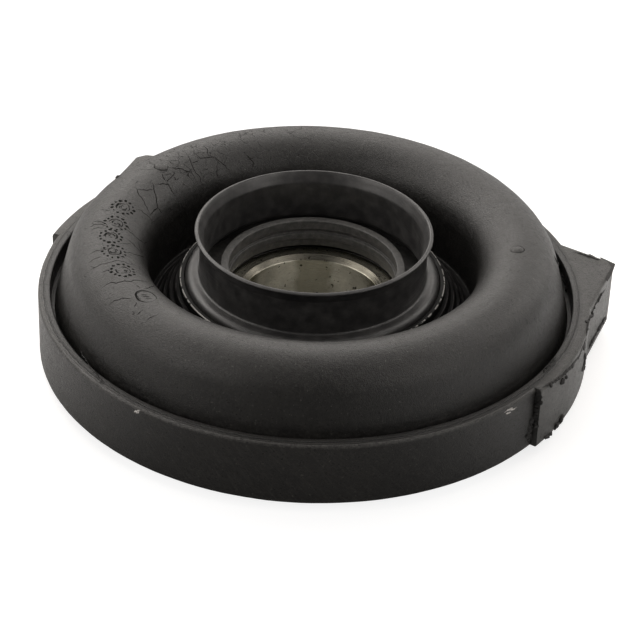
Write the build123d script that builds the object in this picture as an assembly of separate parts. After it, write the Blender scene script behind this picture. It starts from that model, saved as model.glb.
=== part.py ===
from build123d import *
import math
import os

# Propeller shaft centre support bearing: a sealed ball bearing in a pressed steel hub,
# hung in a moulded rubber cushion that a vehicle bracket clamps round its rim.
# Millimetres. The origin is the centre of the bearing's bore and +Z runs along the shaft,
# towards the tall dust collar. +Y is the middle line between the cushion's two ears.

# Ball bearing
bore_diameter = 30.0
bearing_diameter = 55.0
bearing_width = 13.0
bore_chamfer = 1.1
seat_chamfer = 1.0
ball_ratio = 0.57152
ball_gap = 0.05
groove_ratio = 0.52
shoulder_ratio = 0.206
ball_spacing_ratio = 1.65

# Bearing seals, one in each face
seal_thickness = 0.9
seal_recess = 0.4
seal_rebate = 1.0
seal_lip_gap = 0.12

# Riveted cage
cage_sheet = 0.5
cage_width = 2.9
pocket_gap = 0.1
rivet_diameter = 1.1
rivet_head_diameter = 1.9
rivet_head_height = 0.4
rivet_gap = 0.03

# Pressed steel hub
carrier_wall = 1.2
carrier_lip = 3.6
carrier_bend = 0.3
carrier_stand = 4.4
fit_gap = 0.02

# Dust collar
collar_sheet = 0.9
collar_height = 16.3
shoulder_height = 5.55
shoulder_width = 3.95
shoulder_bend = 1.0
collar_flare_height = 2.6
collar_flare = 1.2
collar_flare_bend = 2.5

# Shaft seal inside the collar
shaft_seal_radius = 18.1
shaft_seal_wall = 1.8
shaft_seal_height = 7.25
shaft_seal_web = 1.2
shaft_seal_clearance = 0.7
shaft_seal_foot = 2.4
upper_lip_height = 2.1
lip_groove_height = 0.9
lip_groove_depth = 0.4
lower_lip_height = 1.5
lower_lip_reach = 0.25
lower_lip_relief = 0.3

# Rubber cushion, from the hub outwards
trough_width = 6.7
trough_depth = 5.9
trough_floor = 1.6
ridge_count = 4
ridge_face_share = 1 / 3
sleeve_step = 1.85
sleeve_bottom_gap = 3.2
tube_radius = 8.8
tube_wall = 4.6
tube_rise = 4.2
tube_flank_draft = 15.0
cavity_inner_draft = 1.4
cavity_outer_draft = 1.2
cavity_draft_height = 5.0
channel_width = 3.3
channel_depth = 4.0
trough_round = 0.8
rim_land = 2.7
rim_height = 14.35
rim_drop = 5.35
rim_bevel = 0.7
rim_foot_bevel = 0.4

# Ears and pads on the rim, one of each on either side
ear_inset = 1.0
ear_reach = 35.5
ear_end_slope = 12.0
ear_corner_bevel = 1.6
pad_stand = 1.3
pad_start_angle = 68.0
right_pad_end_angle = 107.5
left_pad_end_angle = 94.8

# Pips moulded on the tube's crown, one on either side
pip_diameter = 2.9
pip_height = 0.5
pip_angle = 74.5
pip_tilt = 7.0

# Bearing, worked out
bore_r = bore_diameter / 2
bearing_r = bearing_diameter / 2
half_width = bearing_width / 2
pitch_r = (bore_r + bearing_r) / 2
ball_diameter = ball_ratio * (bearing_r - bore_r)
ball_r = ball_diameter / 2
race_wall = (bearing_r - bore_r) / 2 - ball_r - ball_gap
groove_r = groove_ratio * ball_diameter
shoulder = shoulder_ratio * ball_diameter
inner_land_r = bore_r + race_wall + shoulder
outer_land_r = bearing_r - race_wall - shoulder
ball_count = int(math.pi * pitch_r / (ball_spacing_ratio * ball_r))
ball_pitch = 360 / ball_count

# Hub, worked out
carrier_inner_r = bearing_r + fit_gap
carrier_r = carrier_inner_r + carrier_wall
carrier_top = half_width + carrier_stand
collar_leg_r = carrier_inner_r - fit_gap - collar_sheet / 2
collar_wall_r = collar_leg_r - shoulder_width + collar_sheet
collar_top = half_width + collar_height
shoulder_top = half_width + shoulder_height

# Cushion, worked out
hub_r = carrier_r + fit_gap
tube_inner_r = hub_r + trough_width
tube_centre_r = tube_inner_r + tube_radius
tube_outer_r = tube_centre_r + tube_radius
channel_r = tube_outer_r + channel_width
rim_r = channel_r + rim_land
rim_bottom = -rim_drop
rim_top = rim_bottom + rim_height
tube_z = rim_top + tube_rise
cavity_r = tube_radius - tube_wall
flank_turn = math.radians(tube_flank_draft)
flank_top_r = tube_centre_r + tube_radius * math.cos(flank_turn)
flank_top_z = tube_z + tube_radius * math.sin(flank_turn)
sleeve_top = carrier_top - sleeve_step
sleeve_bottom = -half_width - carrier_wall + sleeve_bottom_gap
pad_r = rim_r + pad_stand
ear_side = rim_r - ear_inset


def turned(*lines):
    """Revolve a closed outline, drawn as radius and height, about the shaft's axis."""
    face = make_face(Curve() + list(lines))
    return revolve(Plane.XZ * face, Axis.Z)


def turned_outline(points):
    """Revolve a closed outline of straight lines."""
    return turned(Polyline(*points, close=True))


def pressed_ring(points, radii, sheet):
    """Revolve a bent sheet that follows a centre line."""
    centre_line = FilletPolyline(*points, radius=radii)
    return revolve(Plane.XZ * trace(centre_line, line_width=sheet), Axis.Z)


def make_race(near_r, land_r, groove_centre_r, chamfer_size, rebate_r):
    """A bearing race: the bore or seat, two lands and the ball groove between them."""
    side = math.copysign(1, land_r - near_r)
    edge_r = near_r + side * chamfer_size
    rebate_z = half_width - seal_recess - seal_thickness - fit_gap
    points = [
        (near_r, half_width - chamfer_size),
        (edge_r, half_width),
        (rebate_r, half_width),
        (rebate_r, rebate_z),
        (land_r, rebate_z),
    ]
    if rebate_r == land_r:
        points = points[:3]
    outline = points + [(r, -z) for r, z in reversed(points)]
    groove = Pos(groove_centre_r, 0) * Circle(groove_r)
    section = make_face(Polyline(*outline, close=True)) - groove
    return revolve(Plane.XZ * section, Axis.Z)


def make_inner_race():
    groove_centre = bore_r + race_wall + groove_r
    return make_race(bore_r, inner_land_r, groove_centre, bore_chamfer, inner_land_r)


def make_outer_race():
    groove_centre = bearing_r - race_wall - groove_r
    rebate_r = outer_land_r + seal_rebate
    return make_race(bearing_r, outer_land_r, groove_centre, seat_chamfer, rebate_r)


def make_bearing_seal(side):
    """A sealing washer snapped into the outer race, just clear of the inner one."""
    outer = half_width - seal_recess
    inner = outer - seal_thickness
    lip_r = inner_land_r + seal_lip_gap
    rim = outer_land_r + seal_rebate - fit_gap
    middle = (outer + inner) / 2
    points = [
        (lip_r, middle),
        (lip_r + seal_thickness / 2, outer),
        (rim, outer),
        (rim, inner),
        (lip_r + seal_thickness / 2, inner),
    ]
    return turned_outline([(r, side * z) for r, z in points])


def around(shape):
    """Copies of a shape, one at each ball's station."""
    return [Rot(0, 0, index * ball_pitch) * shape for index in range(ball_count)]


def make_ball(index):
    return Rot(0, 0, index * ball_pitch) * Pos(pitch_r, 0, 0) * Sphere(ball_r)


def make_cage_half(side):
    """Half of the riveted cage: flat lands between the balls and a cup over each ball."""
    band_inner_r = pitch_r - cage_width / 2
    band_outer_r = pitch_r + cage_width / 2
    pocket_r = ball_r + pocket_gap
    cup_r = pocket_r + cage_sheet
    band = Cylinder(band_outer_r, cup_r + cage_sheet, align=(Align.CENTER, Align.CENTER, Align.MIN))
    band -= Cylinder(band_inner_r, 4 * cup_r)
    lands = band & Cylinder(bearing_r, 2 * cage_sheet)
    cups = [band & cup for cup in around(Pos(pitch_r, 0, 0) * Sphere(cup_r))]
    pockets = around(Pos(pitch_r, 0, 0) * Sphere(pocket_r))
    holes = around(rivet_place() * Cylinder(rivet_diameter / 2 + rivet_gap, 4 * cage_sheet))
    half = (lands + cups) - pockets - holes
    return half if side > 0 else mirror(half, Plane.XY)


def rivet_place():
    return Rot(0, 0, ball_pitch / 2) * Pos(pitch_r, 0, 0)


def make_cage_rivets():
    """One rivet between each pair of balls, headed on both sides of the cage."""
    shank = Cylinder(rivet_diameter / 2, 2 * (cage_sheet + rivet_head_height))
    head = Cylinder(rivet_head_diameter / 2, rivet_head_height)
    head_z = cage_sheet + rivet_head_height / 2
    rivet = shank + Pos(0, 0, head_z) * head + Pos(0, 0, -head_z) * head
    return Compound(children=around(rivet_place() * rivet))


def make_bearing_carrier():
    """Steel sleeve that the bearing is pressed into, turned in under the outer race."""
    middle_r = carrier_inner_r + carrier_wall / 2
    lip_z = -half_width - carrier_wall / 2
    lip_r = middle_r + carrier_wall / 2 - carrier_lip
    points = [(lip_r, lip_z), (middle_r, lip_z), (middle_r, carrier_top)]
    return pressed_ring(points, carrier_bend + carrier_wall / 2, carrier_wall)


def make_dust_collar():
    """Tall flared collar whose stepped base is pressed into the carrier."""
    shoulder_z = shoulder_top - collar_sheet / 2
    flare_tilt = math.atan2(collar_flare, collar_flare_height)
    flare_top = collar_top - collar_sheet / 2 * math.sin(flare_tilt)
    points = [
        (collar_leg_r, half_width),
        (collar_leg_r, shoulder_z),
        (collar_wall_r, shoulder_z),
        (collar_wall_r, flare_top - collar_flare_height),
        (collar_wall_r + collar_flare, flare_top),
    ]
    bend = shoulder_bend
    return pressed_ring(points, [bend, bend, collar_flare_bend], collar_sheet)


def make_shaft_seal():
    """Rubber seal: a foot on the outer race, a web over the inner one and two lips."""
    foot_r = collar_leg_r - collar_sheet / 2 - fit_gap
    foot_inner_r = foot_r - shaft_seal_foot
    wall_r = shaft_seal_radius + shaft_seal_wall
    web_bottom = half_width + shaft_seal_clearance
    web_top = web_bottom + shaft_seal_web
    lip_top = half_width + shaft_seal_height
    groove_top = lip_top - upper_lip_height
    groove_bottom = groove_top - lip_groove_height
    lower_lip_bottom = groove_bottom - lower_lip_height
    groove_wall_r = shaft_seal_radius + lip_groove_depth
    lower_lip_r = shaft_seal_radius - lower_lip_reach
    relief_r = shaft_seal_radius + lower_lip_relief
    return turned_outline([
        (foot_r, half_width),
        (foot_r, web_top),
        (wall_r, web_top),
        (wall_r, lip_top),
        (shaft_seal_radius, lip_top),
        (shaft_seal_radius, groove_top),
        (groove_wall_r, groove_top - lip_groove_depth),
        (groove_wall_r, groove_bottom),
        (lower_lip_r, groove_bottom),
        (lower_lip_r, lower_lip_bottom),
        (relief_r, lower_lip_bottom - lip_groove_depth),
        (relief_r, web_bottom),
        (foot_inner_r, web_bottom),
        (foot_inner_r, half_width),
    ])


def ridge_points():
    """Stepped slope from the trough's floor up to the top of the hub's rubber sleeve."""
    foot_r = tube_inner_r - trough_floor
    tread = (foot_r - hub_r) / ridge_count
    rise = trough_depth / ridge_count
    floor_z = sleeve_top - trough_depth
    points = []
    for step in range(ridge_count):
        ridge_r = foot_r - step * tread
        points.append((ridge_r, floor_z + step * rise))
        points.append((ridge_r - ridge_face_share * tread, floor_z + (step + 1) * rise))
    return points


def make_rolled_section():
    """Section of the hub sleeve, the rolled tube open below, and the channel's floor."""
    channel_floor = rim_top - channel_depth
    flank_foot_r = flank_top_r + (flank_top_z - channel_floor) * math.tan(flank_turn)
    draft_top = rim_bottom + cavity_draft_height
    cavity_inner_r = tube_centre_r - cavity_r
    cavity_outer_r = tube_centre_r + cavity_r
    land_middle_r = channel_r + rim_land / 2
    cavity = [
        Polyline((hub_r, sleeve_bottom), (cavity_inner_r - cavity_inner_draft, sleeve_bottom),
                 (cavity_inner_r, draft_top), (cavity_inner_r, tube_z)),
        ThreePointArc((cavity_inner_r, tube_z), (tube_centre_r, tube_z + cavity_r),
                      (cavity_outer_r, tube_z)),
    ]
    rim_side = Polyline((cavity_outer_r, tube_z), (cavity_outer_r, draft_top),
                        (cavity_outer_r + cavity_outer_draft, rim_bottom),
                        (land_middle_r, rim_bottom), (land_middle_r, channel_floor),
                        (flank_foot_r, channel_floor), (flank_top_r, flank_top_z))
    crown = ThreePointArc((flank_top_r, flank_top_z), (tube_centre_r, tube_z + tube_radius),
                          (tube_inner_r, tube_z))
    trough = Polyline((tube_inner_r, tube_z), (tube_inner_r, sleeve_top - trough_depth),
                      *ridge_points(), (hub_r, sleeve_top), (hub_r, sleeve_bottom))
    section = Sketch() + make_face(Curve() + [*cavity, rim_side, crown, trough])
    trough_corner = section.vertices().sort_by_distance((tube_inner_r, sleeve_top - trough_depth, 0))[0]
    return fillet(trough_corner, min(trough_round, trough_floor / 2))


def plan_direction(angle, radius):
    """A point of the plan at an angle from +Y towards +X."""
    turn = math.radians(angle)
    return (radius * math.sin(turn), radius * math.cos(turn))


def make_ear_plan():
    """One square ear: a side parallel to +Y, a bevelled corner and a sloping end."""
    inside_x = rim_r / 2
    end_rise = (ear_side - inside_x) * math.tan(math.radians(ear_end_slope))
    corner = (ear_side, ear_reach)
    outline = Polyline((inside_x, 0), (ear_side, 0), corner, (inside_x, ear_reach + end_rise), close=True)
    ear = Sketch() + make_face(outline)
    corner_vertex = ear.vertices().sort_by_distance((*corner, 0))[0]
    return chamfer(corner_vertex, ear_corner_bevel)


def make_side_plan(pad_end_angle):
    """One ear and the pad beside it, a slightly larger arc than the rim."""
    middle_angle = (pad_start_angle + pad_end_angle) / 2
    reach = 2 * pad_r
    wedge = Polyline((0, 0), plan_direction(pad_start_angle, reach), plan_direction(middle_angle, reach),
                     plan_direction(pad_end_angle, reach), close=True)
    return make_ear_plan() + (Circle(pad_r) & make_face(wedge))


def make_rim_block():
    """The rim with its ears and pads, as a full disc."""
    left_side = mirror(make_side_plan(left_pad_end_angle), Plane.YZ)
    plan = Circle(rim_r) + make_side_plan(right_pad_end_angle) + left_side
    block = Pos(0, 0, rim_bottom) * extrude(plan, rim_height)
    block = chamfer(block.edges().group_by(Axis.Z)[-1], rim_bevel)
    return chamfer(block.edges().group_by(Axis.Z)[0], rim_foot_bevel)


def make_pip():
    """A low dome that stands on the tube's crown, leant a little towards the shaft."""
    foot_r = pip_diameter / 2
    dome_r = (foot_r ** 2 + pip_height ** 2) / (2 * pip_height)
    centre_r = tube_radius + pip_height - dome_r
    lean = Pos(0, tube_centre_r, tube_z) * Rot(pip_tilt, 0, 0)
    return lean * Pos(0, 0, centre_r) * Sphere(dome_r)


def make_rubber_cushion():
    """One moulding: the rolled section turned about the axis, joined to the rim."""
    rolled = revolve(Plane.XZ * make_rolled_section(), Axis.Z)
    core_r = tube_centre_r + cavity_r + cavity_outer_draft
    bottom_up = (Align.CENTER, Align.CENTER, Align.MIN)
    core = Pos(0, 0, rim_bottom) * Cylinder(core_r, rim_height, align=bottom_up)
    channel_floor = rim_top - channel_depth
    channel = Pos(0, 0, channel_floor) * Cylinder(channel_r, channel_depth, align=bottom_up)
    pips = [Rot(0, 0, side * pip_angle) * make_pip() for side in (1, -1)]
    return rolled + (make_rim_block() - core - channel) + pips


def save(shape, name):
    export_step(shape, f"parts/{name}.step")


os.makedirs("parts", exist_ok=True)
save(make_rubber_cushion(), "rubber_cushion")
save(make_bearing_carrier(), "bearing_carrier")
save(make_dust_collar(), "dust_collar")
save(make_shaft_seal(), "shaft_seal")
save(make_outer_race(), "outer_race")
save(make_inner_race(), "inner_race")
save(make_bearing_seal(1), "bearing_seal_upper")
save(make_bearing_seal(-1), "bearing_seal_lower")
save(make_cage_half(1), "cage_upper")
save(make_cage_half(-1), "cage_lower")
save(make_cage_rivets(), "cage_rivets")
for ball_index in range(ball_count):
    save(make_ball(ball_index), f"ball_{ball_index + 1:02d}")
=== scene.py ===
import math
import random

import bpy
import numpy as np
from mathutils import Matrix, Vector, noise
from mathutils.bvhtree import BVHTree


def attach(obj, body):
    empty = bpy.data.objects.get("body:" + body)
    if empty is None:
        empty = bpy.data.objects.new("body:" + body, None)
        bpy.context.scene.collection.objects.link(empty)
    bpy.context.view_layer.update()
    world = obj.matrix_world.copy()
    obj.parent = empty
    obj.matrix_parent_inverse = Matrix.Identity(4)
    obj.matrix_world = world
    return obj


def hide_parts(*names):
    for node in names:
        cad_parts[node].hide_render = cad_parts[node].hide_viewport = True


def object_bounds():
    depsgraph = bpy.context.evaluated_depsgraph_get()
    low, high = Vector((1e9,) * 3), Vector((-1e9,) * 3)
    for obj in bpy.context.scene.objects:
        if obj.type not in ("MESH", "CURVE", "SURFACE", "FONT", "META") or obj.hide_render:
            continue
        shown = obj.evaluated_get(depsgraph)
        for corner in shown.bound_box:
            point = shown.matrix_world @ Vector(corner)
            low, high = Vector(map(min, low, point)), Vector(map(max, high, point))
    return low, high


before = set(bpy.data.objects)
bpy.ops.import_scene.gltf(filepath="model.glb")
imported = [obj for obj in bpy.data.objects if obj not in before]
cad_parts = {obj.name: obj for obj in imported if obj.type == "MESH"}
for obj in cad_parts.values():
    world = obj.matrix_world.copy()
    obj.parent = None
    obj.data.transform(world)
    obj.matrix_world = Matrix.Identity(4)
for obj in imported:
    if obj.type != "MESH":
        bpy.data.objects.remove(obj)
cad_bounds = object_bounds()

# Propeller shaft centre support bearing: a ball bearing in a steel hub, hung in a moulded
# rubber cushion. Lengths below are millimetres in the row frame until a mesh is made.
MM = 0.001
rng = random.Random(7)

# Camera, fitted to the photograph
CAMERA_PLACE = (153.415, -408.946, 290.603)
CAMERA_AZIMUTH = 20.3
CAMERA_ELEVATION = 33.680
CAMERA_ROLL = -2.282
CAMERA_LENS = 135.0
SENSOR_WIDTH = 36.0
PHOTO_SIZE = 640

# Soft lamps: name, direction seen from the camera (degrees from straight away towards the left),
# elevation and watts
LAMP_DISTANCE = 700
LAMP_SIZE = 380
LAMP_TARGET = (0, 0, 8)
LAMP_TINT = (1.0, 0.955, 0.91)
LAMPS = [
    ("back", 0, 30, 0.68),
    ("back_left", 30, 30, 0.92),
    ("left_back", 60, 30, 1.31),
    ("left", 90, 30, 0.65),
    ("front_left", 120, 30, 1.29),
    ("front_right", -120, 30, 1.25),
    ("right_back", -60, 30, 1.29),
    ("high_back", 0, 52, 0.62),
    ("high_left", 45, 52, 0.75),
    ("high_right", -45, 52, 0.48),
    ("high_front", -135, 52, 0.16),
    ("low_back", 0, 10, 0.49),
    ("low_left", 30, 10, 0.36),
    ("low_right", -30, 10, 0.54),
    ("top", 0, 90, 0.53),
    ("below", 0, -90, 0.9),
]

# Bearing, steel and seals, outwards from the bore
BORE_R = 15.0
BORE_CHAMFER = 1.1
BEARING_R = 27.5
HALF_WIDTH = 6.5
BALL_R = 3.572
GROOVE_R = 0.52 * 2 * BALL_R
RACE_WALL = (BEARING_R - BORE_R) / 2 - BALL_R - 0.05
INNER_LAND_R = 19.10
LAND_BEVEL = 0.3
FIT_GAP = 0.02
CARRIER_WALL = 1.2
CARRIER_R = BEARING_R + FIT_GAP + CARRIER_WALL / 2
CARRIER_LIP_R = CARRIER_R - 3.0
CARRIER_TOP = HALF_WIDTH + 4.4
SHEET = 0.9
COLLAR_LEG_R = BEARING_R - SHEET / 2
COLLAR_WALL_R = COLLAR_LEG_R - 3.95 + SHEET
COLLAR_TOP = HALF_WIDTH + 16.3
COLLAR_FLARE = 1.2
COLLAR_FLARE_HEIGHT = 2.6
SHOULDER_TOP = HALF_WIDTH + 5.55

# The floor that the carrier's lip stands on
FLOOR_Z = -HALF_WIDTH - CARRIER_WALL
FLOOR_REACH = 2200

# Cushion, outwards from the hub
HUB_R = CARRIER_R + CARRIER_WALL / 2 + FIT_GAP
SLEEVE_TOP = CARRIER_TOP - 1.85
SLEEVE_BOTTOM = FLOOR_Z + 3.2
TROUGH_FLOOR_Z = SLEEVE_TOP - 5.9
TROUGH_FLOOR_R = HUB_R + 5.1
TROUGH_ROUND = 0.8
RIDGES = 4
RIDGE_ROUND = 0.45
RIM_TOP = 9.0
RIM_BOTTOM = -5.35
LAND_ROUND = 0.35
RIM_ROUND = 0.75
FOOT_ROUND = 0.5
TUBE_R = 8.8
TUBE_CENTRE_R = HUB_R + 6.7 + TUBE_R
TUBE_Z = RIM_TOP + 4.2
CAVITY_R = TUBE_R - 4.6
CAVITY_DRAFT_TOP = RIM_BOTTOM + 5.0
CAVITY_MOUTH_OUT = TUBE_CENTRE_R + CAVITY_R + 1.2
CAVITY_MOUTH_IN = TUBE_CENTRE_R - CAVITY_R - 1.4
FLANK_DRAFT = 15.0
CHANNEL_FLOOR_Z = RIM_TOP - 4.0
CHANNEL_R = TUBE_CENTRE_R + TUBE_R + 3.3
RIM_R = CHANNEL_R + 2.7
PAD_R = RIM_R + 1.3
RIGHT_PAD_FRONT = -17.5
LEFT_PAD_FRONT = -4.8
PAD_BACK = 22.0
EAR_SIDE = RIM_R - 1.0
EAR_REACH = 35.5
EAR_END_SLOPE = 12.0
EAR_BEVEL = 1.6

# Where the ear meets the pad and the rim: directions from and to, and the columns' spacing there
EAR_FOOT_TURNS = ((14.5, 17.0, 0.4), (39.4, 41.2, 0.3))

# The parting line on the rim's top, as a groove and as a stain that wanders outwards from its radius
PARTING_R = 58.1
PARTING_STAIN_R = 57.25

# The sector of the tube's crown that is crazed, as angle times 40
CRAZED_FROM = 74
CRAZED_TO = 121


def photo_axes():
    """The camera's right, up and back directions in the row frame."""
    elevation = math.radians(CAMERA_ELEVATION)
    roll = math.radians(CAMERA_ROLL)
    turn = Matrix.Rotation(math.radians(CAMERA_AZIMUTH), 3, "Z")
    right = Vector((1, 0, 0))
    up = Vector((0, math.sin(elevation), math.cos(elevation)))
    back = Vector((0, -math.cos(elevation), math.sin(elevation)))
    rolled_right = right * math.cos(roll) - up * math.sin(roll)
    rolled_up = right * math.sin(roll) + up * math.cos(roll)
    return turn @ rolled_right, turn @ rolled_up, turn @ back


def photo_ray(pixel):
    """Where the line of sight through a pixel of the photograph starts, and its direction."""
    right, up, back = photo_axes()
    focal = CAMERA_LENS / SENSOR_WIDTH * PHOTO_SIZE
    across = pixel[0] - PHOTO_SIZE / 2
    down = pixel[1] - PHOTO_SIZE / 2
    return Vector(CAMERA_PLACE), (right * across - up * down - back * focal).normalized()


def on_skin(pixel):
    """The point of the cushion that a pixel of the photograph shows, and the surface's normal there."""
    start, along = photo_ray(pixel)
    place, normal, _, _ = skin.ray_cast(start * MM, along)
    if place is None:
        beside_object = start + along * along.dot(Vector((PAD_R, 0, 0)) - start)
        place, normal, _, _ = skin.find_nearest(beside_object * MM)
    return place / MM, normal


def tube_frame(turn, tilt):
    """A point of the tube's crown and its outward normal, from two angles in degrees."""
    a, b = math.radians(turn), math.radians(tilt)
    outward = Vector((math.cos(a), math.sin(a), 0))
    normal = outward * math.cos(b) + Vector((0, 0, math.sin(b)))
    return outward * TUBE_CENTRE_R + Vector((0, 0, TUBE_Z)) + normal * TUBE_R, normal


def corner_arc(before, corner, after, radius, steps):
    """Points of the arc that rounds a corner of an outline."""
    a = Vector(before) - Vector(corner)
    b = Vector(after) - Vector(corner)
    half = a.angle(b) / 2
    reach = min(radius / math.tan(half), 0.49 * a.length, 0.49 * b.length)
    size = reach * math.tan(half)
    middle = Vector(corner) + (a.normalized() + b.normalized()).normalized() * size / math.sin(half)
    first = Vector(corner) + a.normalized() * reach - middle
    last = Vector(corner) + b.normalized() * reach - middle
    return [tuple(middle + first.slerp(last, index / steps) * size) for index in range(steps + 1)]


def rounded(points, radius, steps=5):
    """A closed outline with every corner rounded."""
    result = []
    count = len(points)
    for index in range(count):
        before, after = points[index - 1], points[(index + 1) % count]
        result += corner_arc(before, points[index], after, radius, steps)
    return result


def bent_sheet(points, radius, sheet, steps=7):
    """The closed outline of a bent sheet of even thickness, with rounded edges."""
    line = [points[0]]
    for before, corner, after in zip(points, points[1:], points[2:]):
        line += corner_arc(before, corner, after, radius, steps)
    line.append(points[-1])
    line = [Vector(p) for p in line]
    left, right = [], []
    for index, point in enumerate(line):
        along = (line[min(index + 1, len(line) - 1)] - line[max(index - 1, 0)]).normalized()
        side = Vector((-along.y, along.x)) * sheet / 2
        left.append(point + side)
        right.append(point - side)
    outline = [tuple(p) for p in left + right[::-1]]
    result = []
    for index, point in enumerate(outline):
        if index in (0, len(left) - 1, len(left), len(outline) - 1):
            following = outline[(index + 1) % len(outline)]
            result += corner_arc(outline[index - 1], point, following, sheet * 0.3, 3)
        else:
            result.append(point)
    return result


def divided(points, longest):
    """A closed outline with no stretch longer than a given length."""
    result = []
    for index, point in enumerate(points):
        following = points[(index + 1) % len(points)]
        count = max(1, math.ceil(math.dist(point, following) / longest))
        for step in range(count):
            share = step / count
            result.append((point[0] + (following[0] - point[0]) * share,
                           point[1] + (following[1] - point[1]) * share))
    return result


def link(name, mesh, material, body, replaced=()):
    """Adds a mesh to the scene as a piece of the object."""
    piece = bpy.data.objects.new(name, mesh)
    bpy.context.scene.collection.objects.link(piece)
    mesh.materials.append(material)
    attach(piece, body)
    if replaced:
        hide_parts(*replaced)
    return piece


def smooth(mesh, angle=40):
    """Shades a mesh smooth, but for its sharp edges."""
    mesh.polygons.foreach_set("use_smooth", [True] * len(mesh.polygons))
    mesh.set_sharp_from_angle(angle=math.radians(angle))
    mesh.update()


def new_mesh(name, vertices, faces):
    mesh = bpy.data.meshes.new(name)
    mesh.from_pydata(vertices, [], faces)
    mesh.update()
    return mesh


def turned_grid(turns, radius, height):
    """Points in columns at some directions in radians, from the rows' radii and heights."""
    grid = np.zeros((len(turns), len(height), 3))
    grid[:, :, 0] = np.cos(turns)[:, None] * radius
    grid[:, :, 1] = np.sin(turns)[:, None] * radius
    grid[:, :, 2] = height
    return grid


def ring_mesh(name, grid):
    """The skin of a grid of points in columns and rows, closed on itself both ways."""
    across, along = grid.shape[:2]
    faces = []
    for c in range(across):
        d = (c + 1) % across
        for r in range(along):
            s = (r + 1) % along
            faces.append((c * along + r, d * along + r, d * along + s, c * along + s))
    return new_mesh(name, (grid.reshape(-1, 3) * MM).tolist(), faces)


def lathe_mesh(name, outline, columns):
    """Turns a closed outline of radius and height about the shaft's axis."""
    ring = np.array(outline)
    turns = np.linspace(0, 2 * math.pi, columns, endpoint=False)
    mesh = ring_mesh(name, turned_grid(turns, ring[:, 0], ring[:, 1]))
    following = np.roll(ring, -1, axis=0)
    if np.sum(ring[:, 0] * following[:, 1] - following[:, 0] * ring[:, 1]) > 0:
        mesh.flip_normals()
    return mesh


# Materials

SOOT = (0.002, 0.002, 0.002)


class Nodes:
    """A node tree, with short calls that add a node, feed its inputs and give one of its outputs."""

    def __init__(self, owner, output="ShaderNodeOutputMaterial"):
        owner.use_nodes = True
        self.owner = owner
        self.tree = owner.node_tree
        self.tree.nodes.clear()
        self.end = self.tree.nodes.new(output)

    def feed(self, socket, value):
        """Joins another node's output to a socket, or sets the socket to a number or a colour."""
        if isinstance(value, bpy.types.NodeSocket):
            self.tree.links.new(value, socket)
        elif socket.type == "RGBA":
            socket.default_value = (*value, 1.0)
        else:
            socket.default_value = value

    def add(self, kind, inputs=None, output=0, **settings):
        node = self.tree.nodes.new(kind)
        for key, value in settings.items():
            setattr(node, key, value)
        for key, value in (inputs or {}).items():
            if value is not None:
                self.feed(node.inputs[key], value)
        return node.outputs[output]

    def math(self, operation, *values):
        return self.add("ShaderNodeMath", dict(enumerate(values)), operation=operation)

    def times(self, product, *others):
        for other in others:
            product = self.math("MULTIPLY", product, other)
        return product

    def combine(self, x, y, z):
        return self.add("ShaderNodeCombineXYZ", {"X": x, "Y": y, "Z": z})

    def apart(self, vector):
        """The three parts of a vector."""
        node = self.tree.nodes.new("ShaderNodeSeparateXYZ")
        self.tree.links.new(vector, node.inputs[0])
        return node.outputs

    def spot(self, turn=0.0):
        """Object coordinates in millimetres, turned about the shaft."""
        place = self.add("ShaderNodeTexCoord", output="Object")
        inputs = {"Vector": place, "Scale": (1000, 1000, 1000), "Rotation": (0, 0, turn)}
        return self.add("ShaderNodeMapping", inputs)

    def polar(self):
        """Angle times 40, radius and height, in millimetres, for marks that run round or across."""
        x, y, z = self.apart(self.add("ShaderNodeTexCoord", output="Object"))
        around = self.times(self.math("ARCTAN2", y, x), 40.0)
        radius = self.math("SQRT", self.math("ADD", self.times(x, x), self.times(y, y)))
        return around, self.times(radius, 1000.0), self.times(z, 1000.0)

    def noise(self, vector, scale, detail, roughness):
        inputs = {"Vector": vector, "Scale": scale, "Detail": detail, "Roughness": roughness}
        return self.add("ShaderNodeTexNoise", inputs, "Fac")

    def ramp(self, value, low, high, start=0.0, end=1.0):
        """Maps low to high onto start to end, and holds outside."""
        inputs = {"Value": value, "From Min": low, "From Max": high, "To Min": start, "To Max": end}
        return self.add("ShaderNodeMapRange", inputs, "Result", clamp=True)

    def mix(self, share, first, second):
        """A mix of two colours."""
        return self.add("ShaderNodeMix", {0: share, 6: first, 7: second}, 2, data_type="RGBA")

    def relief(self, *layers):
        """A normal with layers of relief, each with its strength and its depth in millimetres."""
        normal = None
        for height, strength, depth in layers:
            inputs = {"Height": height, "Strength": strength, "Distance": depth * MM, "Normal": normal}
            normal = self.add("ShaderNodeBump", inputs, "Normal")
        return normal

    def shader(self, colour, rough, normal=None, specular=0.5, metallic=0.0):
        node = self.tree.nodes.new("ShaderNodeBsdfPrincipled")
        self.feed(node.inputs["Base Color"], colour)
        self.feed(node.inputs["Roughness"], rough)
        if normal is not None:
            self.feed(node.inputs["Normal"], normal)
        node.inputs["Specular IOR Level"].default_value = specular
        node.inputs["Metallic"].default_value = metallic
        return node.outputs["BSDF"]

    def done(self, shader):
        """Ends the tree in a shader, and gives the material or world that owns it."""
        self.tree.links.new(shader, self.end.inputs["Surface"])
        return self.owner


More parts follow.
